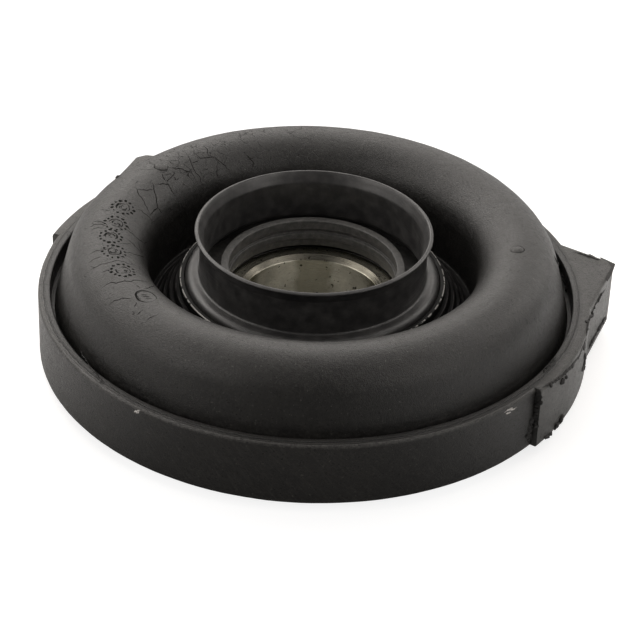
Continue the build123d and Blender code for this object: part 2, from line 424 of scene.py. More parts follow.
def cushion_material():
    """Satin black rubber with a brownish bloom, fine pits, crazing and a painted highlight on the rim's
    outer edge.
    """
    n = Nodes(bpy.data.materials.new("cushion_rubber"))
    spot = n.spot()
    around, radius, height = n.polar()
    broad = n.noise(spot, 0.05, 5, 0.6)
    mottle = n.noise(spot, 0.5, 6, 0.65)
    pits = n.noise(spot, 1.5, 5, 0.7)
    grain = n.noise(spot, 4.5, 3, 0.6)
    specks = n.noise(spot, 1.9, 2, 0.5)
    colour = n.mix(n.ramp(broad, 0.38, 0.66), (0.0055, 0.0051, 0.0050), (0.010, 0.0094, 0.0086))
    colour = n.mix(n.ramp(mottle, 0.48, 0.70, 0.0, 0.6), colour, (0.017, 0.016, 0.0145))
    colour = n.mix(n.ramp(pits, 0.50, 0.66, 0.0, 0.5), colour, (0.03, 0.029, 0.026))
    colour = n.mix(n.ramp(specks, 0.68, 0.73, 0.0, 0.6), colour, (0.08, 0.076, 0.068))

    # On the rim's top: a wandering parting line, a paler band outside it towards the left, and a painted
    # highlight along the outer edge
    top = n.ramp(height, RIM_TOP - 0.4, RIM_TOP - 0.15)
    line = n.math("SUBTRACT", radius, n.math("MULTIPLY_ADD", mottle, 0.8, PARTING_STAIN_R))
    line = n.times(top, n.ramp(n.math("ABSOLUTE", line), 0.22, 0.08))
    pale_left_band = n.times(top, n.ramp(radius, RIM_R - 1.44, RIM_R - 1.14), n.ramp(pits, 0.42, 0.62),
                   n.ramp(n.apart(spot)["X"], 0, -35, 0.0, 0.8))
    colour = n.mix(pale_left_band, colour, (0.06, 0.057, 0.053))
    colour = n.mix(n.times(line, 0.9), colour, SOOT)
    # The paler outer edge of the rim's top is a painted highlight.
    edge = n.times(n.ramp(radius, RIM_R - 0.74, RIM_R - 0.44), n.ramp(height, RIM_TOP - 0.8, RIM_TOP - 0.55),
                   n.ramp(pits, 0.40, 0.60))
    colour = n.mix(n.times(edge, 0.8), colour, (0.05, 0.048, 0.045))

    # On the rim's wall: slanting fine lines, and paler faces where pads and ears stand proud, partly dustier
    # rubber and partly a painted highlight
    slanted = n.combine(n.math("MULTIPLY_ADD", height, 0.55, around), radius, n.times(height, 0.12))
    hatch = n.ramp(n.noise(slanted, 3.6, 4, 0.65), 0.52, 0.64)
    hatch = n.times(hatch, n.ramp(radius, RIM_R - 1.84, RIM_R - 0.64))
    colour = n.mix(n.times(hatch, 0.2), colour, (0.06, 0.058, 0.053))
    proud_dust_and_highlight = n.times(n.ramp(radius, RIM_R + 0.11, RIM_R + 0.26), n.ramp(height, RIM_TOP - 0.1, RIM_TOP - 0.4),
                    n.ramp(pits, 0.3, 0.6, 0.5, 1.0))
    colour = n.mix(n.times(proud_dust_and_highlight, 0.7), colour, (0.055, 0.054, 0.050))

    # On the tube's crown: crazing in one sector
    warped = n.add("ShaderNodeVectorMath", {0: spot, 1: n.combine(mottle, pits, broad)}, operation="ADD")
    cells = n.add("ShaderNodeTexVoronoi", {"Vector": warped, "Scale": 0.36}, "Distance",
                  feature="DISTANCE_TO_EDGE")
    crazed = n.times(n.ramp(around, CRAZED_FROM, CRAZED_FROM + 8), n.ramp(around, CRAZED_TO, CRAZED_TO - 8),
                     n.ramp(height, 17, 19.5), n.ramp(broad, 0.40, 0.50), n.ramp(cells, 0.035, 0.012),
                     n.ramp(mottle, 0.46, 0.56))
    colour = n.mix(crazed, colour, SOOT)

    pinholes = n.ramp(n.noise(spot, 2.3, 2, 0.5), 0.63, 0.68)
    colour = n.mix(n.times(pinholes, 0.8), colour, SOOT)
    rough = n.math("ADD", n.ramp(broad, 0.3, 0.7, 0.34, 0.42), n.ramp(mottle, 0.35, 0.7, -0.04, 0.06))
    rough = n.math("ADD", rough, n.ramp(pits, 0.35, 0.65, -0.06, 0.08))
    rough = n.math("MULTIPLY_ADD", crazed, 0.3, rough)
    rough = n.math("MULTIPLY_ADD", pinholes, 0.25, rough)
    normal = n.relief((mottle, 0.5, 0.12), (pits, 0.6, 0.12), (grain, 0.7, 0.12), (crazed, 0.9, -0.15),
                      (hatch, 0.25, 0.03), (line, 0.8, -0.2))
    return n.done(n.shader(colour, rough, normal))


def trough_painted_shade_material():
    """Dull rubber inside the trough, darker than the cushion as painted shade, with pale streaks round it
    and broken pale lines along its ridges as painted highlights.
    """
    n = Nodes(bpy.data.materials.new("trough_rubber_painted_shade"))
    spot = n.spot()
    around, radius, height = n.polar()
    mottle = n.noise(spot, 0.9, 5, 0.65)
    streaks = n.noise(n.combine(n.times(around, 0.25), n.times(radius, 3.0), height), 0.8, 4, 0.7)
    specks = n.ramp(n.noise(spot, 2.4, 2, 0.5), 0.68, 0.72)
    tread = (TROUGH_FLOOR_R - HUB_R) / RIDGES
    inward = n.math("SUBTRACT", radius, HUB_R + tread * 2 / 3 - 0.1)
    painted_crest_highlight = n.times(n.ramp(n.math("PINGPONG", inward, tread / 2), 0.16, 0.04), n.ramp(streaks, 0.44, 0.58))
    # Base colour far darker than the cushion's: painted shade in the trough.
    colour = n.mix(n.ramp(mottle, 0.4, 0.65), (0.0015, 0.0014, 0.0016), (0.006, 0.0055, 0.0055))
    # Pale streaks that run round the trough: painted highlights.
    colour = n.mix(n.times(n.ramp(streaks, 0.60, 0.72), 0.5), colour, (0.035, 0.033, 0.032))
    # Broken pale lines on the ridges' crests: painted highlights.
    colour = n.mix(n.times(painted_crest_highlight, 0.8), colour, (0.085, 0.08, 0.08))
    colour = n.mix(n.times(specks, 0.6), colour, (0.10, 0.095, 0.09))
    rough = n.ramp(mottle, 0.3, 0.7, 0.6, 0.75)
    return n.done(n.shader(colour, rough, n.relief((streaks, 0.5, 0.1)), specular=0.12))


def painted_steel_material(name, dark, pale, rough_low, rough_high, gloss):
    """Black paint over pressed steel, thin and grey where it has rubbed, with a pale broken line on the
    carrier's top edge that is partly rubbed paint and partly a painted highlight.
    """
    n = Nodes(bpy.data.materials.new(name))
    spot = n.spot()
    around, radius, height = n.polar()
    turned_lines = n.noise(n.combine(n.times(around, 0.05), radius, height), 2.2, 4, 0.6)
    mottle = n.noise(spot, 0.35, 5, 0.6)
    grain = n.noise(spot, 4.0, 4, 0.6)
    wear = n.ramp(n.noise(spot, 1.1, 4, 0.7), 0.60, 0.70)
    colour = n.mix(n.ramp(mottle, 0.4, 0.7), dark, pale)
    colour = n.mix(n.times(wear, 0.35), colour, (0.06, 0.057, 0.052))
    # A pale broken line round the carrier's top edge: paint rubbed to bare steel, and also a painted
    # highlight on that edge.
    edge = n.math("ABSOLUTE", n.math("SUBTRACT", radius, CARRIER_R + 0.42))
    edge = n.times(n.ramp(edge, 0.16, 0.06), n.ramp(height, CARRIER_TOP - 0.4, CARRIER_TOP - 0.2),
                   n.ramp(height, CARRIER_TOP + 0.2, CARRIER_TOP + 0.1), n.ramp(mottle, 0.42, 0.47))
    colour = n.mix(edge, colour, (0.45, 0.44, 0.42))
    rough = n.ramp(turned_lines, 0.35, 0.65, rough_low, rough_high)
    normal = n.relief((turned_lines, 0.25, 0.03), (grain, 0.3, 0.02))
    return n.done(n.shader(colour, rough, normal, specular=gloss))


def race_material():
    """Ground bearing steel, yellowish, with yellow-brown bands of painted reflection round the bore, a
    darker chamfer and a few stains.
    """
    n = Nodes(bpy.data.materials.new("race_steel"))
    spot = n.spot()
    around, radius, height = n.polar()
    turned_lines = n.noise(n.combine(n.times(around, 0.02), radius, height), 6.0, 5, 0.6)
    mottle = n.noise(spot, 0.35, 5, 0.6)
    stains = n.ramp(n.noise(spot, 1.3, 3, 0.6), 0.66, 0.70)
    dots = n.ramp(n.noise(spot, 1.1, 1, 0.4), 0.72, 0.74)
    # Darker yellow-brown bands round the bore: painted reflection.
    wave = n.math("SINE", n.math("MULTIPLY_ADD", around, 0.125, 1.37))
    wave = n.math("MULTIPLY_ADD", mottle, 0.8, wave)
    painted_reflection_bands = n.times(n.ramp(wave, 0.5, -0.1), n.ramp(radius, BORE_R + 0.4, BORE_R + 0.1))
    chamfer = n.times(n.ramp(radius, BORE_R + 0.05, BORE_R + 0.2),
                      n.ramp(radius, BORE_R + 1.3, BORE_R + 1.15))
    colour = n.mix(n.ramp(mottle, 0.35, 0.7), (0.44, 0.42, 0.35), (0.60, 0.58, 0.49))
    for share, layer, tone in ((0.75, painted_reflection_bands, (0.20, 0.19, 0.135)), (0.85, chamfer, (0.15, 0.14, 0.115)),
                               (0.6, stains, (0.10, 0.085, 0.06)), (0.9, dots, (0.02, 0.018, 0.012))):
        colour = n.mix(n.times(layer, share), colour, tone)
    rough = n.ramp(turned_lines, 0.3, 0.7, 0.22, 0.38)
    return n.done(n.shader(colour, rough, n.relief((turned_lines, 0.3, 0.01)), metallic=1.0))


# Two-toned materials: the mottle's scale, detail and roughness, the part of it that changes the
# colour, the two colours, the roughness, and the relief's noises with their strength and depth
BARE_STEEL = dict(mottle=(0.7, 5, 0.6), change=(0.3, 0.7), relief=[((6.0, 3, 0.6), 0.2, 0.01)], metallic=1.0)
MOTTLED = {
    "seal_rubber": dict(mottle=(0.8, 5, 0.6), change=(0.4, 0.68), rough=(0.46, 0.6),
                        colours=((0.036, 0.035, 0.034), (0.080, 0.078, 0.073)),
                        relief=[((5.0, 4, 0.6), 0.5, 0.04)], speck=(0.12, 0.11, 0.095)),
    "bearing_seal": dict(mottle=(0.6, 5, 0.6), change=(0.4, 0.7), rough=(0.35, 0.55),
                         colours=((0.012, 0.011, 0.010), (0.028, 0.025, 0.022)),
                         relief=[((4.0, 4, 0.6), 0.4, 0.03)]),
    "ball_steel": dict(BARE_STEEL, rough=(0.08, 0.16), colours=((0.62, 0.62, 0.62), (0.75, 0.75, 0.75))),
    "cage_steel": dict(BARE_STEEL, rough=(0.3, 0.45), colours=((0.42, 0.40, 0.36), (0.58, 0.55, 0.50))),
    "cushion_marks": dict(mottle=(1.5, 4, 0.6), change=(0.35, 0.7), rough=(0.75, 0.9),
                          colours=((0.002, 0.0018, 0.0018), (0.008, 0.007, 0.006)),
                          relief=[((1.5, 4, 0.6), 0.3, 0.02)], specular=0.1),
    "torn_rubber": dict(mottle=(1.6, 5, 0.7), change=(0.4, 0.68), rough=(0.6, 0.8),
                        colours=((0.005, 0.0048, 0.0046), (0.03, 0.028, 0.026)),
                        relief=[((1.6, 5, 0.7), 0.8, 0.3), ((6.0, 3, 0.6), 0.5, 0.06)]),
    "pale_scuffs": dict(mottle=(3.5, 4, 0.7), change=(0.4, 0.6), rough=(0.7, 0.9),
                        colours=((0.25, 0.24, 0.23), (0.75, 0.73, 0.70)),
                        relief=[((3.5, 4, 0.7), 0.3, 0.02)]),
}


def mottled_material(name, mottle, change, rough, colours, relief, speck=None, specular=0.5, metallic=0.0):
    """Two colours in a mottle, with an uneven gloss, a relief and, where asked, pale specks."""
    n = Nodes(bpy.data.materials.new(name))
    spot = n.spot()
    shade = n.noise(spot, *mottle)
    colour = n.mix(n.ramp(shade, *change), *colours)
    if speck:
        colour = n.mix(n.ramp(n.noise(spot, 2.2, 2, 0.5), 0.70, 0.74, 0.0, 0.8), colour, speck)
    normal = n.relief(*((n.noise(spot, *noise_of), strength, depth) for noise_of, strength, depth in relief))
    return n.done(n.shader(colour, n.ramp(shade, 0.3, 0.7, *rough), normal, specular, metallic))


# Cushion


def end_line_radius(turn):
    """Distance to the ear's sloping end, along a direction."""
    slope = math.tan(math.radians(EAR_END_SLOPE))
    return (EAR_REACH + slope * EAR_SIDE) / (math.sin(turn) + slope * math.cos(turn))


def ear_corner_turns():
    """Directions of the two ends of the ear's bevelled corner."""
    slope = math.radians(EAR_END_SLOPE)
    lower = math.atan2(EAR_REACH - EAR_BEVEL, EAR_SIDE)
    upper = math.atan2(EAR_REACH + EAR_BEVEL * math.sin(slope), EAR_SIDE - EAR_BEVEL * math.cos(slope))
    return math.degrees(lower), math.degrees(upper)


def ear_radius(turn):
    """Distance to the ear's outline along a direction, over its straight side, bevel and end."""
    low, high = (math.radians(t) for t in ear_corner_turns())
    side = EAR_SIDE / math.cos(turn)
    end = end_line_radius(turn)
    if turn <= low:
        return side
    if turn >= high:
        return end
    first = Vector((math.cos(low), math.sin(low))) * EAR_SIDE / math.cos(low)
    last = Vector((math.cos(high), math.sin(high))) * end_line_radius(high)
    normal = Vector((last.y - first.y, first.x - last.x)).normalized()
    return normal.dot(first) / normal.dot(Vector((math.cos(turn), math.sin(turn))))


def plan_radius(degrees):
    """The rim's outer radius along a direction, with its pads and ears."""
    folded = (degrees + 180) % 360 - 180
    if abs(folded) > 90:
        folded = math.copysign(180, folded) - folded
    radius = RIM_R
    front = LEFT_PAD_FRONT if abs((degrees + 180) % 360 - 180) > 90 else RIGHT_PAD_FRONT
    if front <= folded <= PAD_BACK:
        radius = PAD_R
    if 5 < folded < 50:
        radius = max(radius, ear_radius(math.radians(folded)))
    return radius


def column_turns():
    """Directions of the cushion's columns, closer together where its outline turns."""
    corners = ear_corner_turns()
    turns = list(np.arange(0, 360, 1.0))
    for side, front in ((1, RIGHT_PAD_FRONT), (-1, LEFT_PAD_FRONT)):
        for low, high, step in ((corners[0] - 1.0, corners[1] + 1.0, 0.3), (front - 0.5, front + 0.5, 0.12),
                                *EAR_FOOT_TURNS):
            for turn in np.arange(low, high, step):
                turns.append((turn if side > 0 else 180 - turn) % 360)
    turns.sort()
    kept = [turns[0]]
    for turn in turns[1:]:
        if turn - kept[-1] > 0.09:
            kept.append(turn)
    return kept


def line_rows(*stops):
    """Rows along straight stretches, up to but without the last stop.

    A stop is a radius, a height, a share and, but for the last, the number of rows up to the next.
    """
    rows = []
    for (*start, count), end in zip(stops, stops[1:]):
        rows += [tuple(a + (b - a) * index / count for a, b in zip(start, end)) for index in range(count)]
    return rows


def arc_rows(centre, radius, first, last, count, share=0.0):
    """Rows along an arc, up to but without its last point."""
    rows = []
    for index in range(count):
        angle = math.radians(first + (last - first) * index / count)
        rows.append((centre[0] + radius * math.cos(angle), centre[1] + radius * math.sin(angle), share))
    return rows


def ridge_outline():
    """The stepped slope inside the trough, from the sleeve's top down to its floor."""
    tread = (TROUGH_FLOOR_R - HUB_R) / RIDGES
    rise = (SLEEVE_TOP - TROUGH_FLOOR_Z) / RIDGES
    points = [(HUB_R, SLEEVE_TOP)]
    for step in reversed(range(RIDGES)):
        foot_r = TROUGH_FLOOR_R - step * tread
        foot_z = TROUGH_FLOOR_Z + step * rise
        points.append((foot_r - tread / 3, foot_z + rise))
        points.append((foot_r, foot_z))
    points.append((TUBE_CENTRE_R - TUBE_R, TROUGH_FLOOR_Z))
    return points


def cushion_rows():
    """The cushion's section as rows of radius, height and the share of the outline they follow."""
    tube_in = TUBE_CENTRE_R - TUBE_R
    draft = math.radians(FLANK_DRAFT)
    flank_r = TUBE_CENTRE_R + TUBE_R * math.cos(draft)
    flank_z = TUBE_Z + TUBE_R * math.sin(draft)
    foot_r = flank_r + (flank_z - CHANNEL_FLOOR_Z) * math.tan(draft)
    wall_out, wall_in = TUBE_CENTRE_R + CAVITY_R, TUBE_CENTRE_R - CAVITY_R
    rows = line_rows((HUB_R, SLEEVE_BOTTOM, 0, 3), (HUB_R, SLEEVE_TOP, 0))
    ridges = ridge_outline()
    rows.append((*ridges[0], 0))
    for before, corner, after in zip(ridges, ridges[1:], ridges[2:]):
        rows += [(*p, 0) for p in corner_arc(before, corner, after, RIDGE_ROUND, 3)]
    bottom = TROUGH_FLOOR_Z + TROUGH_ROUND
    rows += arc_rows((tube_in - TROUGH_ROUND, bottom), TROUGH_ROUND, 270, 360, 4)
    rows += line_rows((tube_in, bottom, 0, 8), (tube_in, TUBE_Z, 0))
    rows += arc_rows((TUBE_CENTRE_R, TUBE_Z), TUBE_R, 180, FLANK_DRAFT, 50)
    rows += line_rows((flank_r, flank_z, 0, 12), (foot_r, CHANNEL_FLOOR_Z, 0, 2),
                      (CHANNEL_R, CHANNEL_FLOOR_Z, 0, 5), (CHANNEL_R, RIM_TOP - LAND_ROUND, 0))
    rows += arc_rows((CHANNEL_R + LAND_ROUND, RIM_TOP - LAND_ROUND), LAND_ROUND, 180, 90, 4)
    rows += line_rows((CHANNEL_R + LAND_ROUND, RIM_TOP, 0, 11), (RIM_R - RIM_ROUND, RIM_TOP, 1))
    rows += arc_rows((RIM_R - RIM_ROUND, RIM_TOP - RIM_ROUND), RIM_ROUND, 90, 0, 6, 1)
    rows += line_rows((RIM_R, RIM_TOP - RIM_ROUND, 1, 16), (RIM_R, RIM_BOTTOM + FOOT_ROUND, 1))
    rows += arc_rows((RIM_R - FOOT_ROUND, RIM_BOTTOM + FOOT_ROUND), FOOT_ROUND, 0, -90, 4, 1)
    rows += line_rows((RIM_R - FOOT_ROUND, RIM_BOTTOM, 1, 8), (CAVITY_MOUTH_OUT, RIM_BOTTOM, 0, 4),
                      (wall_out, CAVITY_DRAFT_TOP, 0, 5), (wall_out, TUBE_Z, 0))
    rows += arc_rows((TUBE_CENTRE_R, TUBE_Z), CAVITY_R, 0, 180, 16)
    rows += line_rows((wall_in, TUBE_Z, 0, 5), (wall_in, CAVITY_DRAFT_TOP, 0, 4),
                      (CAVITY_MOUTH_IN, SLEEVE_BOTTOM, 0, 4), (HUB_R, SLEEVE_BOTTOM, 0))
    return rows


def surface_relief(point):
    """How far the cast surface stands off its ideal form, in millimetres."""
    spot = Vector(point)
    relief = 0.07 * noise.noise(spot * 0.07)
    relief += 0.035 * noise.noise(spot * 0.33 + Vector((9, 2, 4)))
    relief += 0.014 * noise.noise(spot * 1.4)
    radius = math.hypot(point[0], point[1])
    if point[2] > RIM_TOP - 0.3 and radius > CHANNEL_R:
        line = abs(radius - PARTING_R - 0.12 * noise.noise(spot * 0.9))
        if line < 0.3:
            depth = 0.5 + 0.5 * noise.noise(spot * 2.0 + Vector((3, 3, 3)))
            relief -= 0.16 * depth * (1 - line / 0.3)
    return relief


def make_cushion(material, trough_shade_material):
    """The moulded rubber cushion: one closed skin over the rolled tube, channel, rim, pads and ears."""
    turns = column_turns()
    rows = np.array(cushion_rows())
    outer = np.array([plan_radius(turn) for turn in turns]) - RIM_R
    radius = rows[None, :, 0] + rows[None, :, 2] * outer[:, None]
    grid = turned_grid(np.radians(turns), radius, rows[:, 1])
    mesh = ring_mesh("rubber_cushion_skin", grid)
    mesh.flip_normals()
    count = len(mesh.vertices)
    normals = np.zeros(count * 3)
    mesh.vertex_normals.foreach_get("vector", normals)
    normals = normals.reshape(-1, 3)
    flat = grid.reshape(-1, 3)
    hidden = np.hypot(flat[:, 0], flat[:, 1]) < HUB_R + 0.1
    moved = flat.copy()
    for index in range(count):
        if not hidden[index]:
            moved[index] += normals[index] * surface_relief(flat[index])
    moved = np.clip(moved, flat.min(axis=0), flat.max(axis=0))
    mesh.vertices.foreach_set("co", (moved * MM).ravel())
    smooth(mesh, 50)
    piece = link("rubber_cushion_skin", mesh, material, "support", ("rubber_cushion",))
    # The trough's faces take the material that is darkened as painted shade.
    mesh.materials.append(trough_shade_material)
    trough_edge = (TUBE_CENTRE_R - TUBE_R - 0.2) * MM
    for face in mesh.polygons:
        middle = face.center
        inside = math.hypot(middle.x, middle.y) < trough_edge
        face.material_index = int(inside and (TROUGH_FLOOR_Z - 0.5) * MM < middle.z < 11.0 * MM)
    return piece


# Steel, seals and bearing

SHAFT_SEAL = [(26.58, 6.5), (26.58, 8.4), (19.9, 8.4), (19.9, 13.75), (18.1, 13.75), (18.1, 11.65),
              (18.5, 11.25), (18.5, 10.75), (17.85, 10.75), (17.85, 9.25), (18.4, 8.85), (18.4, 7.2),
              (24.18, 7.2), (24.18, 6.5)]
BEARING_SEAL = [(19.22, 5.65), (19.6, 6.1), (20.4, 6.1), (20.7, 5.95), (22.9, 5.95), (23.2, 6.1),
                (24.38, 6.1), (24.38, 5.2), (19.67, 5.2)]


def make_ring(node, outline, longest, columns, material, body, sharp=40):
    """A piece turned from a closed outline, which takes the place of one solid."""
    mesh = lathe_mesh(node + "_skin", divided(outline, longest), columns)
    smooth(mesh, sharp)
    link(node + "_skin", mesh, material, body, (node,))


def make_collar(material):
    """The tall collar: a leg on the bearing, a shoulder, and a wall that flares at its top."""
    leg = [(COLLAR_LEG_R, HALF_WIDTH), (COLLAR_LEG_R, SHOULDER_TOP - SHEET / 2)]
    wall = [(COLLAR_WALL_R, SHOULDER_TOP - SHEET / 2), (COLLAR_WALL_R, COLLAR_TOP - COLLAR_FLARE_HEIGHT)]
    flare = [(COLLAR_WALL_R + COLLAR_FLARE, COLLAR_TOP - 0.19)]
    outline = bent_sheet(leg + wall + flare, 1.0, SHEET)
    make_ring("dust_collar", outline, 0.9, 300, material, "support")


def make_carrier(material):
    """The sleeve round the bearing, with its lower lip."""
    lip_z = -HALF_WIDTH - CARRIER_WALL / 2
    points = [(CARRIER_LIP_R, lip_z), (CARRIER_R, lip_z), (CARRIER_R, CARRIER_TOP)]
    outline = bent_sheet(points, 0.9, CARRIER_WALL)
    make_ring("bearing_carrier", outline, 1.2, 300, material, "support")


def make_shaft_seal(material):
    """The moulded seal ring: foot, web and two lips with a groove between them."""
    make_ring("shaft_seal", rounded(SHAFT_SEAL, 0.22, 4), 0.8, 260, material, "support")


def make_inner_race(material):
    """The inner race with its chamfered bore, two lands and the ball groove."""
    groove_centre = BORE_R + RACE_WALL + GROOVE_R
    reach = math.degrees(math.acos((groove_centre - INNER_LAND_R) / GROOVE_R))
    groove = arc_rows((groove_centre, 0), GROOVE_R, 180 + reach, 180 - reach, 17)
    land = INNER_LAND_R - LAND_BEVEL
    points = [(BORE_R, HALF_WIDTH - BORE_CHAMFER), (BORE_R, -HALF_WIDTH + BORE_CHAMFER),
              (BORE_R + BORE_CHAMFER, -HALF_WIDTH), (land, -HALF_WIDTH),
              (INNER_LAND_R, -HALF_WIDTH + LAND_BEVEL)]
    points += [(r, z) for r, z, _ in groove]
    points += [(INNER_LAND_R, HALF_WIDTH - LAND_BEVEL), (land, HALF_WIDTH),
               (BORE_R + BORE_CHAMFER, HALF_WIDTH)]
    make_ring("inner_race", points, 1.0, 240, material, "inner_race", 25)


def make_bearing_seals(material):
    """The two washers in the bearing's faces: dished, with a round rib and a thin lip."""
    for side, node in ((1, "bearing_seal_upper"), (-1, "bearing_seal_lower")):
        outline = rounded([(r, side * z) for r, z in BEARING_SEAL], 0.12, 3)
        make_ring(node, outline, 0.8, 220, material, "support")


# Moulded marks, cracks and flash, placed by pixels of the photograph

# Lines of cracks, as pixels
CRACKS = [
    [(184, 151), (190, 159), (192, 166), (196, 173), (200, 177), (201, 182), (204, 187)],
    [(190, 153), (193, 152), (197, 155), (200, 158), (204, 158), (214, 157),
     (219, 161), (225, 166), (230, 171), (231, 176)],
    [(204, 146), (207, 149), (208, 155)],
    [(192, 163), (196, 162), (199, 160)],
    [(217, 164), (217, 171), (218, 179)],
    [(246, 153), (249, 158), (253, 162), (253, 169)],
    [(169, 161), (174, 165)],
    [(169, 167), (174, 168), (181, 169), (186, 171), (192, 172), (196, 172)],
    [(188, 172), (188, 177)],
    [(174, 171), (174, 174), (172, 177), (169, 179), (167, 182), (168, 184)],
    [(174, 177), (176, 180)],
    [(162, 173), (163, 177), (166, 181)],
    [(154, 184), (160, 184), (168, 184), (172, 191), (176, 197)],
    [(150, 181), (153, 184), (154, 190), (156, 197), (157, 204), (158, 208), (155, 210), (152, 213)],
    [(158, 208), (162, 213)],
    [(135, 184), (137, 190), (139, 195), (143, 200), (146, 206), (149, 212), (150, 216)],
    [(137, 189), (144, 190), (153, 190)],
    [(137, 209), (141, 211), (148, 216), (153, 222)],
    [(150, 216), (154, 210), (158, 208)],
    [(127, 226), (130, 230)],
    [(125, 228), (131, 233), (137, 238), (144, 243), (146, 245)],
    [(138, 241), (140, 248), (142, 251)],
    [(125, 238), (130, 241), (135, 246), (139, 250), (142, 252)],
    [(118, 244), (125, 244), (131, 243)],
    [(88, 255), (95, 251), (104, 250), (111, 248), (113, 245)],
    [(124, 252), (131, 253), (137, 255), (144, 257)],
    [(100, 210), (111, 210)],
    [(88, 228), (93, 225), (101, 224), (108, 227)],
    [(92, 222), (97, 221), (102, 222), (108, 225)],
    [(90, 231), (95, 228), (106, 228)],
    [(88, 264), (93, 260), (97, 258), (102, 256)],
    [(84, 276), (88, 272), (95, 267), (102, 264), (111, 262),
     (117, 260), (124, 262), (131, 264), (141, 267)],
    [(102, 273), (107, 270), (111, 270)],
    [(100, 289), (107, 284), (111, 282), (116, 283), (125, 281),
     (130, 282), (134, 280), (144, 281), (152, 283)],
    [(136, 285), (140, 287)],
    [(109, 306), (113, 301), (118, 300), (122, 298), (128, 299), (135, 297)],
    [(155, 285), (149, 288), (144, 289)],
    [(146, 321), (150, 318), (157, 315)],
    [(137, 315), (141, 311)],
    [(132, 315), (135, 313)],
    [(134, 307), (137, 303)],
]

# Middles of the date dials and the oval, as pixels, and the dials' sizes in millimetres
DIALS = [(123, 207), (116, 223), (111, 236), (114, 251), (123, 270)]
DIAL_DOTS = 13
DIAL_R = 2.45
DIAL_RINGS = (0.45, 0.85, 1.2, 1.5)
OVAL_MARK = (146, 296)
LINE_HEIGHT = 0.03

# Pips: direction round the tube and tilt on it, in degrees
PIPS = [(164.2, 98.8), (15.3, 95.8)]
PIP_R = 1.45

# Torn seams: pixels, width and height in millimetres
SEAMS = [
    ([(540, 389), (537, 400), (534, 415), (530, 430), (529, 443)], 2.0, 0.5),
    ([(542, 388), (557, 380), (571, 367), (578, 358), (583, 347), (586, 338)], 0.7, 0.5),
    ([(586, 338), (588, 322), (592, 312), (598, 299), (605, 289)], 0.5, 0.4),
    ([(606, 316), (599, 328), (592, 341), (588, 349)], 0.8, 0.5),
    ([(585, 352), (584, 362), (582, 371)], 0.9, 0.6),
    ([(562, 420), (556, 427), (551, 433), (543, 439)], 0.8, 0.5),
    ([(556, 357), (550, 366), (543, 373)], 0.8, 0.35),
    ([(554, 256), (560, 268), (565, 283), (568, 296)], 0.6, 0.35),
    ([(80, 350), (90, 367), (105, 385)], 0.5, 0.3),
    ([(575, 252), (584, 255), (591, 257), (600, 260)], 0.5, 0.3),
]

# Lumps of rubber: pixel and radius in millimetres
LUMPS = [((562, 381), 0.8), ((584, 347), 0.9), ((579, 357), 0.7), ((591, 315), 0.7), ((587, 322), 0.45),
         ((561, 418), 0.9), ((556, 425), 0.7), ((573, 366), 0.5), ((583, 368), 0.7), ((118, 177), 0.6),
         ((566, 377), 0.5), ((551, 385), 0.5), ((540, 402), 0.7), ((535, 425), 0.8)]

# Thin fins of flash at the top of the ears, as pixels of their outline
FINS = [
    [(600, 257), (607, 260), (615.5, 264), (612, 274), (607, 282), (604, 268)],
    [(567, 252), (571, 248.5), (576, 252.5), (572, 256)],
    [(585, 255), (590, 254), (595, 256.5), (591, 259)],
]

# Pale scuffs, as pixels
SCUFFS = [
    [(134, 412), (140, 410)], [(136, 413), (139, 412)], [(504, 413), (508, 410), (512, 410), (517, 407)],
    [(506, 414), (511, 412)], [(509, 409), (513, 408)],
]


def swept(rings):
    """Vertices and faces of a closed form that runs through a row of rings."""
    around = len(rings[0])
    vertices = [vertex for ring in rings for vertex in ring]
    faces = []
    for index in range(len(rings) - 1):
        for edge in range(around):
            a, b = index * around + edge, index * around + (edge + 1) % around
            faces.append((a, b, b + around, a + around))
    last = (len(rings) - 1) * around
    faces.append(tuple(reversed(range(around))))
    faces.append(tuple(range(last, last + around)))
    return vertices, faces


def side_and_taper(places, index, sharpness=4.0):
    """The sideways direction at a place on a line, and a share that falls towards the line's ends."""
    count = len(places)
    along = (places[min(index + 1, count - 1)][0] - places[max(index - 1, 0)][0]).normalized()
    taper = max(0.12, min(1.0, sharpness * min(index + 0.3, count - 0.7 - index) / count))
    return along.cross(places[index][1]).normalized(), taper


def ribbon(places, width, height):
    """A low closed ridge, diamond in section, tapered to both ends."""
    rings = []
    for index, (point, normal) in enumerate(places):
        side, taper = side_and_taper(places, index)
        half = side * width * taper / 2
        rings.append([point + half, point + normal * height * taper, point - half, point - normal * height])
    return swept(rings)


def seam(pixels, width, height):
    """A torn, lumpy seam of rubber along a line of the photograph."""
    places = traced(pixels, 0.8, 0.7)
    rings = []
    for index, (point, normal) in enumerate(places):
        side, taper = side_and_taper(places, index, 8.0)
        left = width / 2 * taper * (1 + 0.9 * noise.noise(point * 1.9))
        right = width / 2 * taper * (1 + 0.9 * noise.noise(point * 1.9 + Vector((9, 0, 0))))
        ring = []
        for step in range(7):
            share = step / 6
            place = point + side * (left * (1 - share) - right * share)
            lift = math.sin(math.pi * (0.08 + 0.84 * share)) * max(0.1, 0.6 + 1.1 * noise.noise(place * 2.1))
            ring.append(place + normal * height * taper * lift)
        ring.append(point - normal * 0.3)
        rings.append(ring)
    return swept(rings)


def fin(pixels, top, sheet=0.3):
    """A thin level plate, its outline given by pixels of the photograph at a height."""
    rings = []
    for height in (top - sheet, top):
        rays = [photo_ray(pixel) for pixel in pixels]
        rings.append([start + along * (height - start.z) / along.z for start, along in rays])
    return swept(rings)


def held(point):
    """A point, moved into the box of the solids where it lies outside."""
    low, high = cad_bounds
    return Vector([min(max(value, low[axis]), high[axis]) for axis, value in enumerate(point)])


